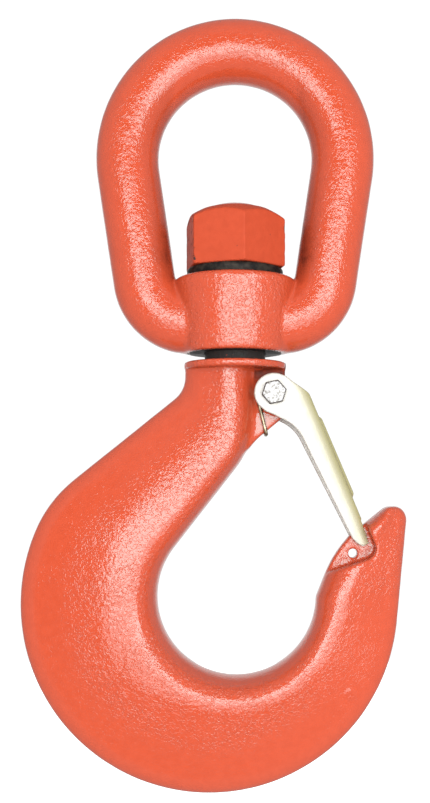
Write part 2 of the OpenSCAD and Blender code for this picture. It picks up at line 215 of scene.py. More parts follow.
def cut(solid, tool, k):
    return smooth_max(solid, -tool, k)


def distance_to_line(points, u, v):
    """Distance in a plane from (u, v) to a line through points."""
    best = np.full(np.broadcast(u, v).shape, np.inf)
    for a, b in zip(points[:-1], points[1:]):
        e = b - a
        du, dv = u - a[0], v - a[1]
        t = np.clip((du * e[0] + dv * e[1]) / max(e @ e, 1e-9), 0, 1)
        best = np.minimum(best, (du - t * e[0]) ** 2 + (dv - t * e[1]) ** 2)
    return np.sqrt(best)


def inside(points, u, v):
    """True where (u, v) is inside a closed outline."""
    odd = np.zeros(np.broadcast(u, v).shape, bool)
    for a, b in zip(points, np.roll(points, -1, axis=0)):
        if a[1] == b[1]:
            continue
        crosses = (a[1] > v) != (b[1] > v)
        odd ^= crosses & (u < a[0] + (v - a[1]) * (b[0] - a[0]) / (b[1] - a[1]))
    return odd


def outline_field(points, u, v):
    edge = distance_to_line(np.vstack([points, points[:1]]), u, v)
    return np.where(inside(points, u, v), -edge, edge)


def hexagon_field(flats, turn, u, v):
    """A hexagon with a corner at turn degrees."""
    faces = [u * math.cos(a) + v * math.sin(a) for a in np.radians(turn + 30 + 60 * np.arange(6))]
    return np.max(np.broadcast_arrays(*faces), axis=0) - flats / 2


def slab(value, low, high):
    return np.maximum(low - value, value - high)


def ramp(value, start, width):
    """A share that rises from 0 at start to 1 a width further on."""
    return np.clip((value - start) / width, 0, 1)


def lumps(block, size, seed):
    """Smooth noise from -1 to 1, with lumps of about that size."""
    counts = np.ceil(block.counts * block.step / size).astype(int) + 2
    values = np.random.default_rng(seed).uniform(-1, 1, counts).astype(np.float32)
    for axis, n in enumerate(block.counts):
        place = np.arange(n) * block.step / size
        i = place.astype(int)
        f = (place - i).astype(np.float32)
        w = (f * f * (3 - 2 * f)).reshape([-1 if k == axis else 1 for k in range(3)])
        values = np.take(values, i, axis) * (1 - w) + np.take(values, i + 1, axis) * w
    return values


def softened(field, passes):
    """Evens out small facets and creases by averaging each point with its neighbours."""
    for _ in range(passes):
        for axis in range(3):
            ahead, behind = np.roll(field, 1, axis), np.roll(field, -1, axis)
            field = field / 2 + (ahead + behind) / 4
    return field


def loft_field(block, rings, reach):
    """The solid inside a row of closed rings, good to a distance of reach from its skin."""
    rings = np.array(rings)
    rows, sides = rings.shape[:2]
    points = ((rings.reshape(-1, 3) - block.low) / block.step).astype(np.float32)
    i, j = np.meshgrid(np.arange(rows - 1), np.arange(sides), indexing="ij")
    across = (j + 1) % sides
    here, ahead = i * sides, (i + 1) * sides
    quads = np.stack([here + j, here + across, ahead + across, ahead + j], -1)
    fan = [[0, k + 1, k] for k in range(1, sides - 1)]
    last = (rows - 1) * sides
    fan += [[last, last + k, last + k + 1] for k in range(1, sides - 1)]
    level = vdb.FloatGrid.createLevelSetFromPolygons(
        points, triangles=np.array(fan, np.uint32), quads=quads.reshape(-1, 4).astype(np.uint32),
        halfWidth=reach / block.step)
    field = np.zeros(block.counts, np.float32)
    level.copyToArray(field)
    return field * block.step


# ---- Meshes ----

def mesh_object(name, points, faces):
    """A smooth object in metres from points in millimetres."""
    mesh = bpy.data.meshes.new(name)
    mesh.from_pydata((np.asarray(points) * MM).tolist(), [], faces)
    mesh.validate()
    mesh.shade_smooth()
    piece = bpy.data.objects.new(name, mesh)
    bpy.context.scene.collection.objects.link(piece)
    return piece


def solid(name, block, field, place=None, marks=None):
    """The piece inside a field.

    place moves its points, and marks are numbers or fields that are kept as attributes of its mesh.
    """
    band = 3 * block.step
    level = vdb.FloatGrid(band)
    level.copyFromArray(np.clip(field, -band, band).astype(np.float32))
    at, quads = level.convertToQuads()
    points = at * block.step + block.low
    piece = mesh_object(name, points if place is None else place(points), quads.tolist())
    nearest = np.clip(np.round(at).astype(int), 0, block.counts - 1)
    for mark, values in (marks or {}).items():
        spread = np.broadcast_to(values, block.counts)
        layer = piece.data.attributes.new(mark, "FLOAT", "POINT")
        layer.data.foreach_set("value", spread[tuple(nearest.T)].astype(np.float32))
    return piece


def finish_piece(piece, body, nodes, material):
    piece.data.materials.append(material)
    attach(piece, body)
    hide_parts(*nodes)


# ---- Bail ----

def stock_line():
    """The middle of the bail's stock on its +X side, from the collar to the top of the eye."""
    slope = math.radians(LEG_SLOPE)
    bend_z = BAIL_FOOT[1] + BAIL_BEND_R
    bend_x = (BAIL_ARC_R - BAIL_BEND_R + math.sin(slope) * (bend_z - BAIL_ARC_Z)) / math.cos(slope)
    bend = arc(np.array([bend_x, bend_z]), BAIL_BEND_R, -90, -LEG_SLOPE, 24)
    eye = arc(np.array([0, BAIL_ARC_Z]), BAIL_ARC_R, -LEG_SLOPE, 90, 48)
    return [BAIL_FOOT] + bend + eye


def collar_field(block):
    outline = rounded([
        [-PAST_AXIS, COLLAR_BOTTOM_Z], [COLLAR_BOTTOM_R, COLLAR_BOTTOM_Z, COLLAR_EDGE_R],
        [COLLAR_TOP_R, COLLAR_TOP_Z, COLLAR_EDGE_R], [-PAST_AXIS, COLLAR_TOP_Z]])
    return outline_field(outline, np.hypot(block.x, block.y), block.z)


def forged(block, field):
    """Adds the slight waves and pebbles of a forged skin, which only ever cut into the shape."""
    waves = 0.05 * (1 + lumps(block, 19, 1))
    pebbles = 0.03 * (1 + lumps(block, 3.3, 3))
    return field + waves + pebbles


# Painted shade on the inside of the bail: how dark and dull the paint is made there, from rows of [height,
# share]
BAIL_PAINTED_SHADE = [[-106, 0], [-92, 0.9], [-70, 0.4], [-40, 0.15], [0, 0.4]]


def make_bail(material):
    """The bail. Its collar is unpainted where it was turned, which under the collar also stands in for the
    shade in the gap, and the inside of its eye has painted shade.
    """
    block = Block(low_mm("bail"), high_mm("bail"), step=0.83)
    middle = distance_to_line(stock_line(), np.abs(block.x), block.z)
    ring = np.hypot(middle, block.y) - STOCK_R
    body = smooth_min(ring, collar_field(block), 2)
    body = smooth_max(body, COLLAR_BOTTOM_Z - block.z, 1.5)
    body = forged(block, body)
    r = np.hypot(block.x, block.y)
    bore = np.maximum(r - BORE_R, block.z - COLLAR_TOP_Z - PAST_TOP)
    body = cut(body, bore, 0.8)
    # Dark unpainted steel on the collar's turned faces, which under the collar also stands in for the shade
    # in the gap
    edge_w = 1.5
    in_collar = slab(block.z, COLLAR_BOTTOM_Z - 1, COLLAR_TOP_Z + 1) < 0
    turned = ramp(COLLAR_BOTTOM_R - edge_w - r, 0, edge_w) * in_collar
    slope = math.radians(LEG_SLOPE)
    leg_x = (BAIL_ARC_R + np.minimum(block.z - BAIL_ARC_Z, 0) * math.sin(slope)) / math.cos(slope)
    inward = (np.where(block.z > BAIL_ARC_Z, BAIL_ARC_R - np.hypot(block.x, block.z - BAIL_ARC_Z),
                       leg_x - np.abs(block.x))) / STOCK_R
    by_height = np.interp(block.z.ravel(), *zip(*BAIL_PAINTED_SHADE))
    right = 1 + 0.3 * (block.x > 0)
    clear = ramp(r, COLLAR_TOP_R, 4)
    # Painted shade on the inside of the eye, strongest near the nut and on the right leg, and kept off the
    # collar
    painted_shade = ramp(inward, 0.35, 0.6) * by_height * right * clear
    piece = solid("forged_bail", block, body, marks={"bare_and_shade": turned, "painted_shade": painted_shade})
    finish_piece(piece, "bail", ["bail"], material)


# ---- Hook ----

# Small raised rings, forged into the front flank
FORGED_RINGS = ((-56, -312), (58, -312))
FORGED_RING_R, FORGED_RING_H, FORGED_RING_W = 1.9, 0.45, 0.7


def ray_to_circle(d, centre, r):
    w = centre - BOWL
    b = d @ w
    return BOWL + d * (b + math.sqrt(r * r - w @ w + b * b))


def ray_to_line(d, p, normal):
    return BOWL + d * (normal @ (p - BOWL)) / (normal @ d)


BACK_NORMAL = np.array([-math.sin(math.radians(BACK_SLOPE)), math.cos(math.radians(BACK_SLOPE))])
HIP_END = 90 + BACK_SLOPE + math.degrees(
    math.acos((-BACK_NORMAL @ (BACK - BACK_LINE) - HIP_R) / (BACK_R - HIP_R)))
HIP = BACK + polar(BACK_R - HIP_R, HIP_END)


def outer_point(a):
    """Where a ray at a degrees from the middle of the bowl meets the outside of the hook."""
    d = polar(1, a)
    if a > 360 - POINT_LEAN:
        return ray_to_line(d, BACK + polar(BACK_R, -POINT_LEAN), polar(1, -POINT_LEAN))
    on_back = ray_to_circle(d, BACK, BACK_R)
    if angle_of(on_back - BACK) < 0 or angle_of(on_back - BACK) > HIP_END:
        return on_back
    on_hip = ray_to_circle(d, HIP, HIP_R)
    if angle_of(on_hip - HIP) > 90 + BACK_SLOPE:
        return on_hip
    return ray_to_line(d, BACK_LINE, BACK_NORMAL)


def hook_rows():
    """Rows of inner point, outer point and stage.

    The stages are 0 neck, 1 bend, 2 throat, 3 bowl, 5 point, 6 fin and 7 crown.
    """
    throat, slope = math.radians(THROAT_SLOPE), math.radians(BACK_SLOPE)
    bend_x = NECK_INNER_X - NECK_BEND_R
    reach = BOWL_R + NECK_BEND_R + (bend_x - BOWL[0]) * math.sin(throat)
    bend = np.array([bend_x, BOWL[1] + reach / math.cos(throat)])
    sweep = 90 - THROAT_SLOPE
    fillet_x = NECK_OUTER_X - NECK_FILLET_R
    rise = NECK_FILLET_R + (fillet_x - BACK_LINE[0]) * math.sin(slope)
    fillet = np.array([fillet_x, BACK_LINE[1] + rise / math.cos(slope)])
    top, foot = bend + polar(NECK_BEND_R, -sweep), BOWL + polar(BOWL_R, 90 + THROAT_SLOPE)
    shoulder = fillet + polar(NECK_FILLET_R, BACK_SLOPE - 90)
    root, corner = outer_point(360), POINT_CORNER + np.array([POINT_CORNER_R, 0])
    rows = []
    for t in steps(8):
        inner = np.array([NECK_INNER_X, lerp(NECK_Z + 1, bend[1], t)])
        rows.append([inner, np.array([NECK_OUTER_X, lerp(NECK_Z + 1, fillet[1], t)]), t])
    for t in steps(16):
        outer = fillet + polar(NECK_FILLET_R, (BACK_SLOPE - 90) * t)
        rows.append([bend + polar(NECK_BEND_R, -sweep * t), outer, 1 + t])
    for t in steps(16):
        rows.append([lerp(top, foot, t), lerp(shoulder, outer_point(90 + THROAT_SLOPE), t), 2 + t])
    for t in steps(96):
        a = lerp(90 + THROAT_SLOPE, 360, t)
        rows.append([BOWL + polar(BOWL_R, a), outer_point(a), 3 + 2 * t])
    for t in steps(14):
        hollow = np.array([POINT_HOLLOW * math.sin(math.pi * t ** 1.3), 0])
        rows.append([lerp(BOWL + [BOWL_R, 0], FIN_CORNER, t) - hollow, lerp(root, corner, t), 5 + t])
    for t in np.linspace(0, 1, 14):
        rows.append([lerp(FIN_CORNER, CROWN, t), POINT_CORNER + polar(POINT_CORNER_R, 80 * t), 6 + t])
    return rows


# Along the hook, from rows of [stage, value]: half thicknesses at the crest and the outer edge, the crest's
# place from 0 at the outer edge to 1 at the inner one, and the share of the flank that bows out
CREST_HALF_T = [[0, 17], [1, 17], [2, 18.5], [4, 21], [5, 17.5], [6, 13.5], [7, 9]]
EDGE_HALF_T = [[0, 12.5], [1, 12.5], [3, 8.5], [4, 8.5], [5, 7.5], [6, 8], [7, 7]]
CREST_PLACE = [[0, 0.64], [1, 0.66], [2, 0.8], [4, 0.82], [4.8, 0.8], [5, 0.72], [6, 0.6], [7, 0.5]]
BOW_SHARE = [[0, 0.42], [1, 0.5], [2, 0.8], [2.6, 0.7], [3.2, 0.42], [3.5, 0.42],
             [4, 0.17], [5, 0.15], [7, 0.3]]
RIM_START = math.radians(40)
CREST_POINTS, FLANK_POINTS, RIM_POINTS = 19, 25, 8


def thinned(share, bow):
    """How far the flank has thinned at a share of its width: slowly over the bow, then evenly."""
    return (share ** 2 / (2 * bow) if share < bow else share - bow / 2) / (1 - bow / 2)


def along_hook(table, stage):
    """A smooth value along the hook, from rows of [stage, value]."""
    for (s0, v0), (s1, v1) in zip(table[:-1], table[1:]):
        if stage <= s1:
            t = (stage - s0) / (s1 - s0)
            return lerp(v0, v1, t * t * (3 - 2 * t))
    return table[-1][1]


def hook_ring(inner, outer, stage):
    """One section of the hook: a round inner edge, a crest, and a flank that thins to the outer edge."""
    thick = along_hook(CREST_HALF_T, stage)
    edge = min(thick, along_hook(EDGE_HALF_T, stage))
    crest = along_hook(CREST_PLACE, stage)
    edge_share = min(0.7 * crest, edge / np.linalg.norm(inner - outer))
    bow = along_hook(BOW_SHARE, stage)
    half = [[crest + (1 - crest) * math.cos(a), thick * math.sin(a)]
            for a in np.linspace(0, math.pi / 2, CREST_POINTS)]
    half += [[lerp(crest, edge_share, f), lerp(thick, edge, thinned(f, bow))]
             for f in np.linspace(0, 1, FLANK_POINTS)[1:]]
    half += [[edge_share * (1 - math.sin(a)) / (1 - math.sin(RIM_START)),
              edge * math.cos(a) / math.cos(RIM_START)]
             for a in np.linspace(RIM_START, math.pi / 2, RIM_POINTS)[1:]]
    ring = half + [[share, -y] for share, y in half[-2:0:-1]]
    places = [lerp(outer, inner, share) for share, y in ring]
    return [[p[0], y, p[1]] for p, (share, y) in zip(places, ring)]


def shank_field(block):
    r = np.hypot(block.x, block.y)
    dome_r = (SHANK_R ** 2 + SHANK_DOME_H ** 2) / (2 * SHANK_DOME_H)
    dome = np.hypot(r, np.maximum(block.z - (SHANK_TOP_Z - dome_r), 0)) - dome_r
    return smooth_max(smooth_max(r - SHANK_R, NECK_Z - block.z, 0.5), dome, 1.6)


def shoulder_field(block):
    r = np.hypot(block.x, block.y) - SHOULDER_R
    return smooth_max(r, slab(block.z, NECK_Z, SHOULDER_TOP_Z), 1)


def pocket_field(block):
    """The pocket in each side of the point that takes the latch's tip."""
    wall = PIVOT + polar(LATCH_TIP, -LATCH_DROP) + polar(LATCH_OUT + 0.35, 90 - LATCH_DROP)
    up = polar(1, 180 - LATCH_DROP)
    foot = wall + (POCKET_FOOT_X - wall[0]) / up[0] * up
    outline = rounded([POCKET_FOOT, [*foot, POCKET_CORNER_R], wall + POCKET_WALL_L * up, POCKET_TOP])
    return np.maximum(outline_field(outline, block.x, block.z), FIN_HALF_T - np.abs(block.y))


def make_hook(material):
    """The hook, pebbled near its point, unpainted where it was turned, which in the gap under the collar also
    stands in for shade, and with painted shade under the shoulder.
    """
    block = Block(low_mm("hook"), high_mm("hook"), step=1.0)
    body = softened(loft_field(block, [hook_ring(*row) for row in hook_rows()], 9), 2)
    ear = outline_field(rounded(EAR_OUTLINE), block.x, block.z)
    ear = smooth_max(ear, np.abs(block.y) - EAR_HALF_T, 1.6)
    body = smooth_min(body, ear, 5)
    body = smooth_min(body, shoulder_field(block), 1)
    body = forged(block, body)
    body = smooth_min(body, shank_field(block), 1)
    body = cut(body, pocket_field(block) - 0.12 * lumps(block, 1.9, 5), 1.6)
    body = cut(body, np.hypot(block.x - PIVOT[0], block.z - PIVOT[1]) - BOLT_R - 0.05, 0.6)
    body = cut(body, np.hypot(block.x - PIN_HOLE[0], block.z - PIN_HOLE[1]) - PIN_HOLE_R, 0.6)
    r = np.hypot(block.x, block.y)
    # Dark unpainted steel on the turned shank and shoulder top, which also stands in for the shade in the gap
    # under the collar
    turned = (block.z > SHOULDER_TOP_Z - 0.8) & (block.z < NUT_Z) & (r < SHOULDER_R - 1.4)
    for x, z in FORGED_RINGS:
        ring = np.hypot(block.x - x, block.z - z) - FORGED_RING_R
        body = body - FORGED_RING_H * np.exp(-(ring / FORGED_RING_W) ** 2) * (block.y < 0)
    point = ramp(block.x, 46, 6) * ramp(block.z, -264, 6)
    on_ear = (block.x > 8) * (np.abs(block.y) < EAR_HALF_T + 1)
    # Painted shade on the ear just under the shoulder
    shadow_under_shoulder = ramp(block.z, -155.5, 4) * on_ear
    marks = {"bare_and_shade": turned, "pebbled": point, "painted_shade": 0.9 * shadow_under_shoulder}
    piece = solid("forged_hook", block, body, marks=marks)
    finish_piece(piece, "hook", ["hook"], material)


# ---- Swivel pieces ----

def make_shank_nut(material):
    """A hexagon with a turned crown, knocked about along its upright edges and scuffed on the left."""
    block = Block(low_mm("shank_nut"), high_mm("shank_nut"), step=0.42)
    r = np.hypot(block.x, block.y)
    chips = np.clip(lumps(block, 2.2, 11) * lumps(block, 5, 12), 0, 1)
    hexagon = hexagon_field(NUT_FLATS, -NUT_TURN, block.x, block.y)
    corner = ramp(r - NUT_FLATS / 2, 1.9, 1.2)
    crown = np.hypot(r, block.z - (SHANK_TOP_Z - NUT_CROWN_R)) - NUT_CROWN_R
    body = smooth_max(hexagon + 0.1, slab(block.z, NUT_Z, NUT_TOP_Z), 1.2)
    body = smooth_max(body, crown, 0.7)
    body = body + 0.06 * (1 + lumps(block, 6, 13)) + 0.4 * corner * chips
    body = cut(body, r - SHANK_R - 0.05, 1.2)
    turn = math.radians(90 - NUT_TURN)
    across = block.x * math.sin(turn) - block.y * math.cos(turn)
    ahead = block.x * math.cos(turn) + block.y * math.sin(turn)
    hole = np.maximum(np.hypot(across, block.z - PIN_Z) - PIN_R - 0.05, -ahead)
    body = cut(body, hole, 0.5)
    specks = np.clip(lumps(block, 1.3, 14) * 2 - 1.3, 0, 1)
    scuffed = 0.72 * ramp(-block.x, 19, 2) * np.clip(chips + 0.5, 0, 1)
    edges = np.clip(corner * (0.15 + 2.2 * chips) - 0.25, 0, 1)
    # Painted shade: the whole nut is made a little darker and duller than the other orange parts
    marks = {"bare_and_shade": edges + specks + scuffed, "painted_shade": 0.18}
    piece = solid("hexagon_shank_nut", block, body, marks=marks)
    finish_piece(piece, "hook", ["shank_nut"], material)


def make_nut_pin(material):
    """A rolled spring pin, drawn along x and then turned to its place."""
    start, end = SHANK_R - PIN_DEPTH, NUT_FLATS / 2 - PIN_SINK
    block = Block([start, -PIN_R, -PIN_R], [end, PIN_R, PIN_R], step=0.2)
    r = np.hypot(block.y, block.z)
    body = smooth_max(r - PIN_R, slab(block.x, start, end), 1.1)
    body = cut(body, r - PIN_R + PIN_WALL, 0.3)
    slit = np.maximum(np.abs(block.y) - 0.45, -block.z)
    body = cut(body, slit, 0.3)
    a = math.radians(90 - NUT_TURN)

    def place(points):
        x, y, z = points.T
        turned_x = x * math.cos(a) - y * math.sin(a)
        turned_y = x * math.sin(a) + y * math.cos(a)
        return np.stack([turned_x, turned_y, z + PIN_Z], 1)

    piece = solid("rolled_nut_pin", block, body, place)
    finish_piece(piece, "hook", ["nut_pin"], material)


def make_thrust_washer(material):
    """A washer with fine turning lines round its rim."""
    block = Block(low_mm("thrust_washer"), high_mm("thrust_washer"), step=0.4)
    r = np.hypot(block.x, block.y)
    body = smooth_max(r - WASHER_R, slab(block.z, WASHER_Z, NUT_Z), 1.4)
    body = cut(body, r - SHANK_R - 0.3, 0.8)
    body = body + 0.03 * (1 + np.sin(block.z * 2.4)) * (r > WASHER_R - 2)
    piece = solid("hard_thrust_washer", block, body)
    finish_piece(piece, "hook", ["thrust_washer"], material)


# ---- Latch ----

def on_latch(points):
    """From the latch's own frame to the object's."""
    x, y, z = points.T
    a = math.radians(LATCH_DROP)
    along, out = np.array([math.cos(a), -math.sin(a)]), np.array([math.sin(a), math.cos(a)])
    place = PIVOT + np.outer(x, along) + np.outer(z, out)
    return np.stack([place[:, 0], y, place[:, 1]], 1)


def channel_field(block, inset):
    """The channel's outer form, or its hollow when inset by the sheet's thickness."""
    narrowing = (LATCH_HALF_W - LATCH_TIP_HALF_W) / (LATCH_TIP + 0.5 - TAPER_START)
    half_w = LATCH_HALF_W - inset - narrowing * np.maximum(block.x - TAPER_START, 0)
    bend = LATCH_BEND_R - inset
    side = (np.abs(block.y) - half_w) / math.hypot(1, narrowing) + bend
    web = block.z - LATCH_OUT + inset + bend
    return np.hypot(np.maximum(side, 0), np.maximum(web, 0)) + np.minimum(np.maximum(side, web), 0) - bend


def capsule_field(block, start, end, height, r):
    along = block.x - np.clip(block.x, start, end)
    return np.sqrt(along ** 2 + block.y ** 2 + (block.z - height) ** 2) - r


def make_latch(material):
    """A channel with two eyes, a notch at its tip and a pressed rib, raised outside and hollow inside."""
    low = [-LATCH_EYE_R, -LATCH_HALF_W, -LATCH_EYE_R]
    block = Block(low, [LATCH_TIP, LATCH_HALF_W, LATCH_OUT + 1.5], step=0.4)
    outline = rounded([
        [-5.3, 8.2], [7.4, LATCH_OUT, 4], [LATCH_TIP, LATCH_OUT, 2.5], [LATCH_TIP, 10.5, 4],
        [83.6, 7.9, 4], [20.3, 4, 20], [6.4, -7.5], [0, 0]])
    eye = np.hypot(block.x, block.z) - LATCH_EYE_R
    side = smooth_min(outline_field(outline, block.x, block.z), eye, 1.5)
    sheet = np.maximum(channel_field(block, 0), -channel_field(block, SHEET))
    notch = np.maximum(WEB_END - block.x, np.abs(block.y) - NOTCH_HALF_W)
    sheet = cut(sheet, notch, 0.7)
    sheet = smooth_max(sheet, side, 0.8)
    rib = capsule_field(block, RIB_START, RIB_END, LATCH_OUT - 1.5, 3)
    sheet = smooth_min(sheet, np.maximum(rib, LATCH_OUT - SHEET - block.z), 0.8)
    sheet = cut(sheet, capsule_field(block, RIB_START, RIB_END, LATCH_OUT - 2.9, 2.2), 0.8)
    sheet = cut(sheet, np.hypot(block.x, block.z) - BOLT_R - 0.08, 0.5)
    sheet = sheet + 0.02 * (1 + lumps(block, 9, 21))
    face = np.minimum(np.abs(channel_field(block, 0)), np.abs(channel_field(block, SHEET)))
    edge = (1 - ramp(np.abs(side), 0.1, 0.4)) * (1 - ramp(face, 0.3, 0.4))
    # Deeper olive toward the web, partly the plate's own tint and partly painted shade where the sheet bends
    bend = ramp(block.z - LATCH_OUT, -8, 7)
    piece = solid("pressed_latch", block, sheet, on_latch, {"dark_edge": edge, "bend": bend})
    finish_piece(piece, "latch", ["latch"], material)


def on_bolt(points):
    """From a frame with z along the bolt, away from its head, to the object's."""
    x, y, z = points.T
    return np.stack([PIVOT[0] + x, z, PIVOT[1] - y], 1)


def threaded(block, r, pitch, depth):
    turn = np.arctan2(block.y, block.x) / (2 * math.pi)
    ridge = np.abs(((block.z / pitch - turn) % 1) - 0.5) * 2
    return np.hypot(block.x, block.y) - r + depth * ridge


def make_latch_bolt(material):
    """A hexagon bolt whose head has a turned top face and raised marks of its grade."""
    end = REAR_FACE + LOCK_NUT_H + LOCK_COLLAR_H + 1.5
    head = -REAR_FACE - BOLT_HEAD_H
    crown_h, dish_r, dish_h = 0.35, 5.6, 0.4
    mark_place, mark_half_l, mark_r, mark_sink = 3.3, 0.9, 0.36, 0.5
    block = Block([-BOLT_CORNER_R, -BOLT_CORNER_R, head], [BOLT_CORNER_R, BOLT_CORNER_R, end], step=0.22)
    r = np.hypot(block.x, block.y)
    thread = threaded(block, BOLT_R, THREAD_PITCH, THREAD_DEPTH)
    shank = np.where(block.z > REAR_FACE + 0.5, thread, r - BOLT_R)
    shank = smooth_max(shank, slab(block.z, -REAR_FACE - 1, end), 0.9)
    flats = hexagon_field(BOLT_FLATS, BOLT_TURN, block.x, -block.y)
    hexagon = smooth_max(flats, slab(block.z, head + crown_h, -REAR_FACE), 0.5)
    crown = (r - BOLT_FLATS / 2 + 0.2) * 0.55 + (head + crown_h - block.z) * 0.83
    hexagon = smooth_max(hexagon, crown, 0.4)
    dish = np.sqrt(r ** 2 + (block.z - head + dish_r - dish_h) ** 2) - dish_r
    hexagon = cut(hexagon, dish, 0.4)
    for spoke in range(3):
        a = math.radians(60 + 120 * spoke)
        along = block.x * math.cos(a) + block.y * math.sin(a)
        aside = block.x * math.sin(a) - block.y * math.cos(a)
        past_end = np.maximum(np.abs(along - mark_place) - mark_half_l, 0)
        ridge = np.sqrt(past_end ** 2 + aside ** 2 + (block.z - head - mark_sink) ** 2)
        hexagon = smooth_min(hexagon, ridge - mark_r, 0.2)
    hexagon = smooth_max(hexagon, head - block.z, 0.1)
    body = smooth_min(hexagon, shank, 0.3)
    # Painted shade: a dark outline round the sides of the head
    rim = ramp(flats, -0.75, 0.4)
    piece = solid("hexagon_latch_bolt", block, body, on_bolt, {"dark_edge": rim * (block.z < 0)})
    finish_piece(piece, "hook", ["latch_bolt"], material)


def make_lock_nut(material, ring_material):
    """A hexagon nut whose collar is crimped over a nylon ring."""
    top = REAR_FACE + LOCK_NUT_H + LOCK_COLLAR_H
    block = Block([-BOLT_CORNER_R, -BOLT_CORNER_R, REAR_FACE], [BOLT_CORNER_R, BOLT_CORNER_R, top], step=0.22)
    r = np.hypot(block.x, block.y)
    hexagon = hexagon_field(BOLT_FLATS, LOCK_NUT_TURN, block.x, -block.y)
    hexagon = smooth_max(hexagon, slab(block.z, REAR_FACE, REAR_FACE + LOCK_NUT_H), 0.6)
    hexagon = smooth_max(hexagon, (r - BOLT_FLATS / 2) * 0.5 + (REAR_FACE + 0.2 - block.z) * 0.87, 0.3)
    collar_r, crimp_r = BOLT_FLATS / 2 - 0.3, 1.2
    crimp = np.hypot(r - collar_r + crimp_r, block.z - top + crimp_r) - crimp_r
    collar = smooth_max(r - collar_r, slab(block.z, REAR_FACE + LOCK_NUT_H - 1, top - crimp_r), 0.4)
    body = smooth_min(hexagon, smooth_min(collar, crimp, 0.3), 0.6)
    hollow = np.maximum(r - collar_r + 0.8, REAR_FACE + LOCK_NUT_H - block.z)
    body = cut(body, hollow, 0.3)
    body = cut(body, r - BOLT_R - 0.05, 0.5)
    piece = solid("flanged_lock_nut", block, body, on_bolt)
    finish_piece(piece, "hook", ["lock_nut"], material)

    insert_r = BOLT_FLATS / 2 - 1.1 - 0.05
    base = REAR_FACE + LOCK_NUT_H + 0.05
    ring = smooth_max(r - insert_r, slab(block.z, base, base + LOCK_COLLAR_H - 0.4), 0.7)
    ring = cut(ring, r - BOLT_R - 0.05, 0.4)
    piece = solid("lock_nut_ring", block, ring, on_bolt)
    finish_piece(piece, "hook", ["lock_nut_insert"], ring_material)


END_STEPS, COIL_STEPS = 10, 180


def spring_line():
    """The middle of the spring's front half, from its end in the latch to the middle of its bridge."""
    tip = PIVOT + polar(SPRING_END_X, -LATCH_DROP) + polar(SPRING_END_OUT, 90 - LATCH_DROP)
    reach = tip - PIVOT
    start = angle_of(reach) + math.degrees(math.acos(COIL_R / np.linalg.norm(reach)))
    end = 270 - SPRING_LEG_DROP + 360 * COIL_TURNS
    leg, bend = SPRING_LEG, SPRING_LEG_BEND
    first = PIVOT + polar(COIL_R, start)
    line = [[*lerp(tip, first, t), -lerp(SPRING_END_Y, SPRING_OUT_Y, t)]
            for t in steps(END_STEPS)]
    line += [[*(PIVOT + polar(COIL_R, lerp(start, end, t))), -lerp(SPRING_OUT_Y, SPRING_IN_Y, t)]
             for t in np.linspace(0, 1, COIL_STEPS)]
    down = polar(1, -SPRING_LEG_DROP)
    foot = PIVOT + polar(COIL_R, end) + leg * down
    line += [[*(foot - bend * down - (leg - bend) * (1 - t) * down), -SPRING_IN_Y]
             for t in steps(10)[1:]]
    line += [[*(foot + bend * (math.sin(a) - 1) * down), -SPRING_IN_Y + bend * (1 - math.cos(a))]
             for a in np.linspace(0, math.pi / 2, 7)]
    line += [[*foot, y] for y in np.linspace(-SPRING_IN_Y + bend, 0, 8)[1:]]
    return np.array([[x, y, z] for x, z, y in line])


def wire(name, line, r, part, sides=14):
    """The named part of a round wire along a line, closed at both ends."""
    ahead = np.gradient(line, axis=0)
    ahead /= np.linalg.norm(ahead, axis=1)[:, None]
    normal = np.cross(ahead[0], [0, 1, 0])
    rings = []
    for point, way in zip(line, ahead):
        normal = normal - (normal @ way) * way
        normal /= np.linalg.norm(normal)
        side = np.cross(way, normal)
        turns = np.linspace(0, 2 * math.pi, sides, endpoint=False)
        rings.append([point + r * (math.cos(a) * normal + math.sin(a) * side) for a in turns])
    rings = rings[part]
    last = (len(rings) - 1) * sides
    faces = [[i + j, i + (j + 1) % sides, i + sides + (j + 1) % sides, i + sides + j]
             for i in range(0, last, sides) for j in range(sides)]
    faces.append(list(range(sides - 1, -1, -1)))
    faces.append(list(range(last, last + sides)))
    return mesh_object(name, np.concatenate(rings), faces)


def make_latch_spring(material):
    """A double torsion spring, each half in three pieces.
    """
    front = spring_line()
    coil_end = END_STEPS + COIL_STEPS
    parts = (("end", slice(0, END_STEPS + 1), 1, 2),
             ("coil", slice(END_STEPS, coil_end), 7.5, 10.3),
             ("foot", slice(coil_end - 1, len(front)), 50, 51))
    for half, side in (("front", 1), ("rear", -1)):
        for part, rings, still_y, moving_y in parts:
            piece = wire(f"latch_spring_{half}_{part}", front * [1, side, 1], WIRE_R, rings)
            piece.data.materials.append(material)
            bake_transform(piece)
            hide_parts("latch_spring")


# ---- Materials ----

RANGE_SOCKETS = ("From Min", "From Max", "To Min", "To Max")


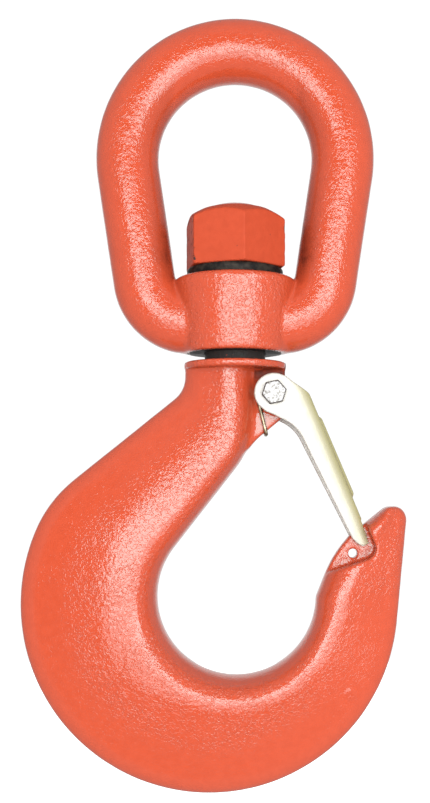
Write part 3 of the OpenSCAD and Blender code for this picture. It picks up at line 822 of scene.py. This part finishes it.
class Shading:
    """One material's shader nodes, driven by places on the object in metres."""

    def __init__(self, name, colour, roughness, metallic=0.0):
        self.material = bpy.data.materials.new(name)
        self.material.use_nodes = True
        self.nodes, self.links = self.material.node_tree.nodes, self.material.node_tree.links
        self.shader = self.nodes["Principled BSDF"]
        self.set("Base Color", (*colour, 1))
        self.set("Roughness", roughness)
        self.set("Metallic", metallic)
        self.place = self.nodes.new("ShaderNodeTexCoord").outputs["Object"]
        self.bumps = None

    def set(self, name, value):
        self.shader.inputs[name].default_value = value

    def noise(self, size_mm, detail=2.0, warp=0.0):
        node = self.nodes.new("ShaderNodeTexNoise")
        self.links.new(self.place, node.inputs["Vector"])
        node.inputs["Scale"].default_value = 1 / (size_mm * MM)
        node.inputs["Detail"].default_value = detail
        node.inputs["Distortion"].default_value = warp
        return node.outputs["Fac"]

    def thickness(self):
        """Distance from the object's middle plane."""
        parts = self.nodes.new("ShaderNodeSeparateXYZ")
        self.links.new(self.place, parts.inputs["Vector"])
        return self.sum(parts.outputs["Y"], 0.0, "ABSOLUTE")

    def mark(self, name):
        node = self.nodes.new("ShaderNodeAttribute")
        node.attribute_name = name
        return node.outputs["Fac"]

    def spread(self, value, low, high, to_low=0.0, to_high=1.0):
        node = self.nodes.new("ShaderNodeMapRange")
        node.interpolation_type = "SMOOTHSTEP"
        self.links.new(value, node.inputs["Value"])
        for socket, number in zip(RANGE_SOCKETS, (low, high, to_low, to_high)):
            node.inputs[socket].default_value = number
        return node.outputs["Result"]

    def sum(self, a, b, operation="ADD"):
        node = self.nodes.new("ShaderNodeMath")
        node.operation = operation
        for socket, value in zip(node.inputs, (a, b)):
            if isinstance(value, (int, float)):
                socket.default_value = value
            else:
                self.links.new(value, socket)
        return node.outputs["Value"]

    def mix(self, share, a, b):
        """A colour between a and b, which are colours or sockets."""
        node = self.nodes.new("ShaderNodeMix")
        node.data_type = "RGBA"
        self.links.new(share, node.inputs["Factor"])
        for socket, value in zip((node.inputs[6], node.inputs[7]), (a, b)):
            if isinstance(value, tuple):
                socket.default_value = (*value, 1)
            else:
                self.links.new(value, socket)
        return node.outputs[2]

    def drive(self, name, value):
        self.links.new(value, self.shader.inputs[name])

    def bump(self, height, depth_mm):
        """Adds a bump whose full height is depth_mm."""
        node = self.nodes.new("ShaderNodeBump")
        node.inputs["Strength"].default_value = 1.0
        node.inputs["Distance"].default_value = depth_mm * MM
        self.links.new(height, node.inputs["Height"])
        if self.bumps is not None:
            self.links.new(self.bumps, node.inputs["Normal"])
        self.bumps = node.outputs["Normal"]
        self.links.new(self.bumps, self.shader.inputs["Normal"])


def orange_paint(name, wrinkled=1.0, gloss=0.85, matt=0.06):
    """Enamel that follows the pebbles and wrinkles of the forging under it.

    Turned faces and chips show dark unpainted steel, which under the bail's collar also stands in for shade,
    and painted shade makes the paint dark and dull where it is marked.
    """
    s = Shading(name, (0.445, 0.0605, 0.0235), 0.12)
    s.set("Specular Tint", (0.45, 1, 1, 1))
    patches = s.spread(s.noise(24, 1.0), 0.36, 0.6, 0.6, 1.0)
    thick = s.sum(s.spread(s.thickness(), 0.0115, 0.0165, 0.2, 1.0), s.mark("pebbled"), "MAXIMUM")
    pebbled = s.sum(patches, thick, "MULTIPLY")
    s.bump(s.sum(s.noise(2.4, 1.0, 0.3), pebbled, "MULTIPLY"), 0.3 * wrinkled)
    worms = s.spread(s.noise(1.7, 1.0, 0.9), 0.42, 0.58)
    s.bump(s.sum(worms, pebbled, "MULTIPLY"), 0.15 * wrinkled)
    s.bump(s.sum(s.noise(0.95, 1.0, 0.8), pebbled, "MULTIPLY"), 0.1 * wrinkled)
    tint = s.spread(s.noise(4, 4.0), 0.35, 0.65)
    colour = s.mix(tint, (0.435, 0.0565, 0.0215), (0.455, 0.0605, 0.0235))
    # Painted shade: marked places are mixed toward a dark red-brown and lose their gloss
    painted_shade = s.mark("painted_shade")
    dark = s.sum(painted_shade, s.spread(s.noise(3, 3.0), 0.3, 0.7, 0.75, 1.0), "MULTIPLY")
    colour = s.mix(dark, colour, (0.07, 0.012, 0.007))
    rough = s.spread(s.noise(5, 4.0), 0.3, 0.7, matt, matt + 0.06)
    # Dark unpainted steel at chips and turned faces, which under the bail's collar also stands in for shade
    bare_and_shade = s.spread(s.sum(s.mark("bare_and_shade"), s.noise(0.9, 2.0), "MULTIPLY"), 0.2, 0.34)
    s.drive("Base Color", s.mix(bare_and_shade, colour, (0.035, 0.026, 0.024)))
    dull = s.sum(bare_and_shade, painted_shade, "MAXIMUM")
    s.drive("Roughness", s.sum(rough, s.sum(dull, 0.35, "MULTIPLY")))
    s.drive("Specular IOR Level", s.spread(dull, 0.0, 1.0, gloss, 0.1))
    return s.material


# Near-black, nearly unreflective steel for the thrust washer and the nut's pin: a dark finish of their own
# that on the washer also stands in for the shade in the gap under the nut
def dark_steel():
    s = Shading("dark_steel_and_gap_shade", (0.015, 0.013, 0.012), 0.4, 0.1)
    patches = s.spread(s.noise(3, 3.0), 0.35, 0.65)
    s.drive("Base Color", s.mix(patches, (0.01, 0.009, 0.009), (0.03, 0.025, 0.02)))
    s.drive("Roughness", s.spread(s.noise(1.2, 3.0), 0.3, 0.7, 0.3, 0.55))
    s.set("Specular IOR Level", 0.08)
    s.bump(s.noise(0.5, 2.0), 0.03)
    return s.material


def yellow_zinc():
    """Pale yellow zinc plate, deeper olive toward the bends and web, partly its own tint and partly painted
    shade, and darker along the cut edges.
    """
    s = Shading("pale_yellow_zinc", (0.47, 0.46, 0.43), 0.42, 0.15)
    plate = s.mix(s.spread(s.noise(9, 3.0), 0.35, 0.65), (0.49, 0.48, 0.45), (0.47, 0.455, 0.41))
    # Deeper olive toward the bends and web, partly the plate's own tint and partly painted shade
    plate = s.mix(s.mark("bend"), plate, (0.36, 0.33, 0.16))
    edge = s.spread(s.mark("dark_edge"), 0.1, 0.9, 0.0, 0.3)
    s.drive("Base Color", s.mix(edge, plate, (0.16, 0.09, 0.035)))
    s.drive("Roughness", s.spread(s.noise(2.5, 4.0), 0.3, 0.7, 0.34, 0.5))
    s.bump(s.noise(0.6, 2.0), 0.012)
    return s.material


def clear_zinc():
    s = Shading("clear_zinc", (0.4, 0.4, 0.4), 0.35, 0.15)
    plate = s.mix(s.spread(s.noise(1.2, 3.0), 0.42, 0.66), (0.43, 0.43, 0.43), (0.2, 0.19, 0.17))
    # Painted shade: the marked outline of the bolt's head is mixed toward near black
    s.drive("Base Color", s.mix(s.spread(s.mark("dark_edge"), 0.2, 0.8), plate, (0.06, 0.05, 0.045)))
    s.drive("Roughness", s.spread(s.noise(0.9, 3.0), 0.3, 0.7, 0.3, 0.45))
    s.bump(s.noise(0.5, 2.0), 0.03)
    return s.material


def nylon():
    s = Shading("natural_nylon", (0.7, 0.72, 0.72), 0.45)
    s.drive("Roughness", s.spread(s.noise(1.0, 2.0), 0.3, 0.7, 0.38, 0.55))
    patches = s.spread(s.noise(2.0, 2.0), 0.3, 0.7)
    s.drive("Base Color", s.mix(patches, (0.66, 0.68, 0.68), (0.76, 0.77, 0.75)))
    s.bump(s.noise(0.4, 2.0), 0.006)
    return s.material


def spring_wire():
    """Drawn wire with a fine grain and patches of oil tint."""
    s = Shading("drawn_spring_wire", (0.34, 0.29, 0.2), 0.35, 0.9)
    patches = s.spread(s.noise(2.5, 3.0), 0.35, 0.65)
    s.drive("Base Color", s.mix(patches, (0.2, 0.165, 0.11), (0.42, 0.36, 0.25)))
    s.drive("Roughness", s.spread(s.noise(1.1, 3.0), 0.3, 0.7, 0.25, 0.45))
    s.bump(s.noise(0.3, 1.0), 0.008)
    return s.material


# ---- Studio ----

def make_camera():
    """Looks square on at the hook from the height of its neck."""
    data = bpy.data.cameras.new("camera")
    data.sensor_width = 36
    data.lens = 49.5
    data.shift_x = -0.0249
    data.shift_y = 0.0953
    camera = bpy.data.objects.new("camera", data)
    camera.location = (0, -0.567, -0.2026)
    camera.rotation_euler = (math.pi / 2, 0, 0)
    bpy.context.scene.collection.objects.link(camera)
    bpy.context.scene.camera = camera


def soft_light(name, place, aim, width, height, radiance):
    """A soft box of that brightness per unit of area, facing aim."""
    data = bpy.data.lights.new(name, "AREA")
    data.shape = "RECTANGLE"
    data.size, data.size_y = width, height
    data.energy = radiance * math.pi * width * height
    light = bpy.data.objects.new(name, data)
    light.location = place
    way = Vector(aim) - Vector(place)
    light.rotation_euler = way.to_track_quat("-Z", "Y").to_euler()
    bpy.context.scene.collection.objects.link(light)
    return light


def make_floor():
    """A pale floor under the hanging hook, bright enough to melt into the white round it."""
    mesh = bpy.data.meshes.new("floor")
    half, z = 6, -1.3
    corners = [(-half, -half, z), (half, -half, z), (half, half, z), (-half, half, z)]
    mesh.from_pydata(corners, [], [(0, 1, 2, 3)])
    floor = bpy.data.objects.new("floor", mesh)
    bpy.context.scene.collection.objects.link(floor)
    floor.visible_diffuse = False
    floor.visible_glossy = False
    s = Shading("pale_floor", (0.9, 0.9, 0.9), 0.8)
    s.set("Emission Color", (1, 1, 1, 1))
    s.set("Emission Strength", 0.75)
    mesh.materials.append(s.material)


# Brightness of the world where it is seen, and where it only lights dull surfaces
SEEN_SKY, SOFT_SKY = 1.05, 0.86
# Brightness of what is mirrored: round the soft boxes, at the sides, and straight behind the hook
DARK_SKY, SIDE_SKY, BACK_SKY = 0.0, 0.4, 1.0
# How that brightness adds up along Y, from rows of [start, end, low, high]
SKY_STEPS = ((-0.84, -0.5, DARK_SKY, SIDE_SKY), (0.75, 0.95, 0, BACK_SKY - SIDE_SKY))


def make_world():
    """White where it is seen, and even where it only lights dull surfaces.

    Mirrored, it is dark round the soft boxes and white straight behind the hook.
    """
    world = bpy.data.worlds.new("studio")
    world.use_nodes = True
    nodes, links = world.node_tree.nodes, world.node_tree.links
    way = nodes.new("ShaderNodeTexCoord")
    parts = nodes.new("ShaderNodeSeparateXYZ")
    links.new(way.outputs["Generated"], parts.inputs["Vector"])
    level = None
    for step in SKY_STEPS:
        rise = nodes.new("ShaderNodeMapRange")
        rise.interpolation_type = "SMOOTHSTEP"
        links.new(parts.outputs["Y"], rise.inputs["Value"])
        for socket, number in zip(RANGE_SOCKETS, step):
            rise.inputs[socket].default_value = number
        if level is None:
            level = rise.outputs["Result"]
            continue
        total = nodes.new("ShaderNodeMath")
        links.new(level, total.inputs[0])
        links.new(rise.outputs["Result"], total.inputs[1])
        level = total.outputs["Value"]
    path = nodes.new("ShaderNodeLightPath")
    for ray, strength in (("Is Diffuse Ray", SOFT_SKY), ("Is Camera Ray", SEEN_SKY)):
        choice = nodes.new("ShaderNodeMix")
        choice.data_type = "FLOAT"
        links.new(path.outputs[ray], choice.inputs["Factor"])
        links.new(level, choice.inputs["A"])
        choice.inputs["B"].default_value = strength
        level = choice.outputs["Result"]
    back = nodes["Background"]
    back.inputs["Color"].default_value = (1, 1, 1, 1)
    links.new(level, back.inputs["Strength"])
    bpy.context.scene.world = world


def make_studio():
    """White all round, with two soft boxes behind the camera and a dim fill behind the hook."""
    bpy.context.scene.view_settings.view_transform = "Standard"
    make_world()
    soft_light("upper_box", (0.2, -1.0, -0.08), (0.2, 0, -0.08), 1.6, 0.54, 5.8)
    fill = soft_light("back_fill", (-0.3, 1.1, 0), (0, 0, -0.16), 1.2, 1.2, 1.6)
    fill.visible_glossy = False
    soft_light("lower_box", (0.24, -1.0, -0.62), (0.24, 0, -0.62), 1.72, 0.54, 2.4)
    make_floor()


forging = orange_paint("orange_enamel")
plated = clear_zinc()
steel = dark_steel()
make_bail(forging)
make_hook(orange_paint("orange_enamel_on_hook", 1.0, 0.95))
make_shank_nut(orange_paint("orange_enamel_on_nut", 0.1, 0.1, 0.45))
make_nut_pin(steel)
make_thrust_washer(steel)
make_latch(yellow_zinc())
make_latch_bolt(plated)
make_lock_nut(plated, nylon())
make_latch_spring(spring_wire())
make_camera()
make_studio()
